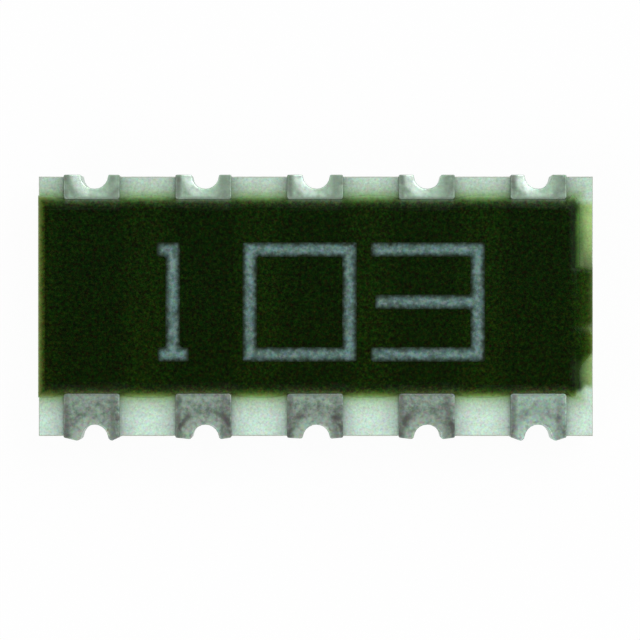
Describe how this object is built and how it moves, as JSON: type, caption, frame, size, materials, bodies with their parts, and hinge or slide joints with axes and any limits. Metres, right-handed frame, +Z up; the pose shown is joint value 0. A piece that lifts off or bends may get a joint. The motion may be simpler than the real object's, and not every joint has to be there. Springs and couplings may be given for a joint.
{
  "type": "chip resistor network",
  "caption": "Flat ceramic chip resistor network with concave plated terminals along both long edges and a dark glaze over the printed resistors.",
  "frame": {"origin": "centre of the chip, on the plane that its terminals stand on", "axes": "+X along the length, +Y from the row of pins 1 to 5 towards the row of pins 6 to 10, +Z up through the glazed face"},
  "size_m": [0.0064, 0.003, 0.0006],
  "materials": {
    "ceramic": "matte",
    "silver_film": "satin",
    "resistor_film": "matte",
    "precoat_glass": "satin",
    "overcoat": "satin",
    "terminal_plating": "matte"
  },
  "bodies": {
    "root": {"ceramic_substrate": "ceramic", "top_land_01": "silver_film", "top_land_02": "silver_film", "top_land_03": "silver_film", "top_land_04": "silver_film", "top_land_06": "silver_film", "top_land_07": "silver_film", "top_land_08": "silver_film", "top_land_09": "silver_film", "bus_conductor": "silver_film", "bottom_land_01": "silver_film", "bottom_land_02": "silver_film", "bottom_land_03": "silver_film", "bottom_land_04": "silver_film", "bottom_land_05": "silver_film", "bottom_land_06": "silver_film", "bottom_land_07": "silver_film", "bottom_land_08": "silver_film", "bottom_land_09": "silver_film", "bottom_land_10": "silver_film", "resistor_element_01": "resistor_film", "resistor_element_02": "resistor_film", "resistor_element_03": "resistor_film", "resistor_element_04": "resistor_film", "resistor_element_06": "resistor_film", "resistor_element_07": "resistor_film", "resistor_element_08": "resistor_film", "resistor_element_09": "resistor_film", "glass_precoat_01": "precoat_glass", "glass_precoat_02": "precoat_glass", "glass_precoat_03": "precoat_glass", "glass_precoat_04": "precoat_glass", "glass_precoat_06": "precoat_glass", "glass_precoat_07": "precoat_glass", "glass_precoat_08": "precoat_glass", "glass_precoat_09": "precoat_glass", "overcoat": "overcoat", "terminal_01": "terminal_plating", "terminal_02": "terminal_plating", "terminal_03": "terminal_plating", "terminal_04": "terminal_plating", "terminal_05": "terminal_plating", "terminal_06": "terminal_plating", "terminal_07": "terminal_plating", "terminal_08": "terminal_plating", "terminal_09": "terminal_plating", "terminal_10": "terminal_plating"}
  },
  "joints": []
}
